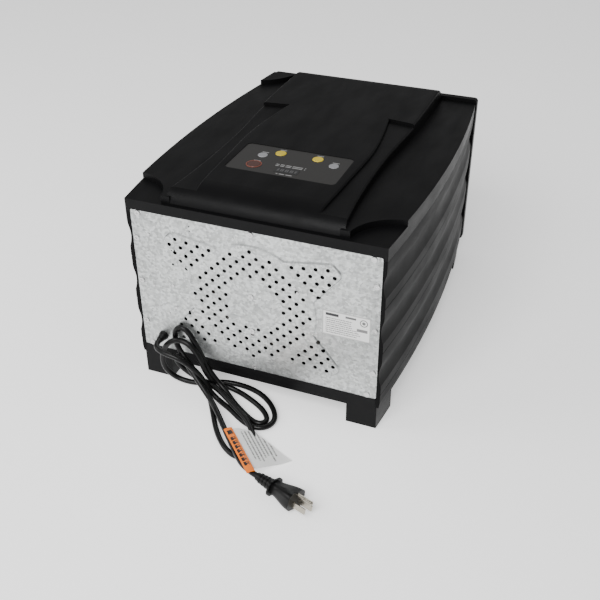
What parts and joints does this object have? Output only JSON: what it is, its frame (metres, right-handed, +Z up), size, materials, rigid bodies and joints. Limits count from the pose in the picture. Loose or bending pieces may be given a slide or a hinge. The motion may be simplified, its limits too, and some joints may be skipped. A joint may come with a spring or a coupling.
{
  "type": "food dehydrator",
  "caption": "Box-shaped food dehydrator with a ribbed dark plastic body, perforated sheet back over a fan, control keys on top, lift-off front door, sliding mesh trays and a coiled mains lead.",
  "frame": {"origin": "on the surface it stands on, under the middle of the body's length and width", "axes": "+Z up, -Y towards the door, +Y towards the perforated back, +X to the right of someone facing the door"},
  "size_m": [0.3452, 0.6198, 0.2742],
  "materials": {
    "shell_plastic": "fine-textured moulded plastic",
    "ribbed_plastic": "satin moulded plastic",
    "sheet_steel": "plain zinc-coated sheet, satin",
    "tray_plastic": "smooth moulded plastic",
    "liner_plastic": "smooth moulded plastic",
    "smoked_clear": "smoked clear plastic",
    "screw_steel": "bright plated steel",
    "bracket_steel": "bright rolled steel",
    "label_paper": "printed film, satin",
    "tag_film": "orange printed film",
    "overlay_film": "dark grey film",
    "display_black": "glossy black",
    "ring_red": "satin",
    "key_dark": "satin",
    "key_grey": "satin",
    "key_yellow": "satin",
    "board_green": "lacquered board",
    "foot_rubber": "matte",
    "cord_rubber": "smooth flexible sheath",
    "plug_plastic": "smooth flexible plastic",
    "brass_pin": "plated",
    "heater_wire": "oxidised",
    "ceramic": "matte ceramic",
    "magnet": "plated"
  },
  "bodies": {
    "housing": {"base_pan": "shell_plastic", "board_posts": "ceramic", "control_board": "board_green", "control_overlay": "overlay_film", "cord_exit": "cord_rubber", "cord_lead": "cord_rubber", "cord_tag": "tag_film", "display_window": "display_black", "fan_baffle": "liner_plastic", "feet_front": "shell_plastic", "feet_rear": "shell_plastic", "foot_pads": "foot_rubber", "front_frame": "shell_plastic", "hank_lower": "cord_rubber", "hank_upper": "cord_rubber", "heater_coil": "heater_wire", "heater_cutouts": "ceramic", "heater_posts": "ceramic", "key_switches": "ceramic", "liner_ceiling": "liner_plastic", "liner_floor": "liner_plastic", "liner_left": "liner_plastic", "liner_right": "liner_plastic", "motor": "bracket_steel", "motor_bracket": "bracket_steel", "motor_screws": "screw_steel", "panel_screws": "screw_steel", "plug_blades": "brass_pin", "plug_body": "plug_plastic", "plug_earth_pin": "brass_pin", "power_ring": "ring_red", "rating_label": "label_paper", "rear_frame": "shell_plastic", "rear_panel": "sheet_steel", "rivets": "screw_steel", "side_shell_left": "ribbed_plastic", "side_shell_right": "ribbed_plastic", "strain_relief": "cord_rubber", "tag_leaf": "label_paper", "terminal_block": "ceramic", "top_cover": "shell_plastic"},
    "door": {"door_frame": "shell_plastic", "door_handle": "shell_plastic", "door_magnets": "magnet", "door_window": "smoked_clear"},
    "drip_tray": {"drip_tray": "tray_plastic"},
    "tray_1": {"tray_1": "tray_plastic"},
    "tray_2": {"tray_2": "tray_plastic"},
    "tray_3": {"tray_3": "tray_plastic"},
    "tray_4": {"tray_4": "tray_plastic"},
    "tray_5": {"tray_5": "tray_plastic"},
    "tray_6": {"tray_6": "tray_plastic"},
    "fan": {"fan": "tray_plastic", "fan_shaft": "screw_steel"},
    "key_down": {"key_down": "key_yellow"},
    "key_light": {"key_light": "key_grey"},
    "key_power": {"key_power": "key_dark"},
    "key_timer": {"key_timer": "key_grey"},
    "key_up": {"key_up": "key_yellow"}
  },
  "joints": [
    {"name": "door_slide", "type": "slide", "parent": "housing", "child": "door", "axis": [0, -1, 0], "range_m": [0, 0.42]},
    {"name": "drip_tray_slide", "type": "slide", "parent": "housing", "child": "drip_tray", "axis": [0, -1, 0], "range_m": [0, 0.3113]},
    {"name": "tray_1_slide", "type": "slide", "parent": "housing", "child": "tray_1", "axis": [0, -1, 0], "range_m": [0, 0.2861]},
    {"name": "tray_2_slide", "type": "slide", "parent": "housing", "child": "tray_2", "axis": [0, -1, 0], "range_m": [0, 0.2626]},
    {"name": "tray_3_slide", "type": "slide", "parent": "housing", "child": "tray_3", "axis": [0, -1, 0], "range_m": [0, 0.2391]},
    {"name": "tray_4_slide", "type": "slide", "parent": "housing", "child": "tray_4", "axis": [0, -1, 0], "range_m": [0, 0.2155]},
    {"name": "tray_5_slide", "type": "slide", "parent": "housing", "child": "tray_5", "axis": [0, -1, 0], "range_m": [0, 0.192]},
    {"name": "tray_6_slide", "type": "slide", "parent": "housing", "child": "tray_6", "axis": [0, -1, 0], "range_m": [0, 0.1685]},
    {"name": "fan_spin", "type": "hinge", "parent": "housing", "child": "fan", "pos_m": [0.002, 0.166, 0.1302], "axis": [0, 1, 0], "continuous": true},
    {"name": "key_down_press", "type": "slide", "parent": "housing", "child": "key_down", "axis": [0, 0, -1], "range_m": [0, 0.001], "stiffness_N_per_m": 400},
    {"name": "key_light_press", "type": "slide", "parent": "housing", "child": "key_light", "axis": [0, 0, -1], "range_m": [0, 0.001], "stiffness_N_per_m": 400},
    {"name": "key_power_press", "type": "slide", "parent": "housing", "child": "key_power", "axis": [0, 0, -1], "range_m": [0, 0.001], "stiffness_N_per_m": 400},
    {"name": "key_timer_press", "type": "slide", "parent": "housing", "child": "key_timer", "axis": [0, 0, -1], "range_m": [0, 0.001], "stiffness_N_per_m": 400},
    {"name": "key_up_press", "type": "slide", "parent": "housing", "child": "key_up", "axis": [0, 0, -1], "range_m": [0, 0.001], "stiffness_N_per_m": 400}
  ],
  "couplings": [
    {"joint": "drip_tray_slide", "follows": "door_slide", "ratio": 0.74},
    {"joint": "tray_1_slide", "follows": "door_slide", "ratio": 0.68},
    {"joint": "tray_2_slide", "follows": "door_slide", "ratio": 0.624},
    {"joint": "tray_3_slide", "follows": "door_slide", "ratio": 0.568},
    {"joint": "tray_4_slide", "follows": "door_slide", "ratio": 0.512},
    {"joint": "tray_5_slide", "follows": "door_slide", "ratio": 0.456},
    {"joint": "tray_6_slide", "follows": "door_slide", "ratio": 0.4}
  ]
}
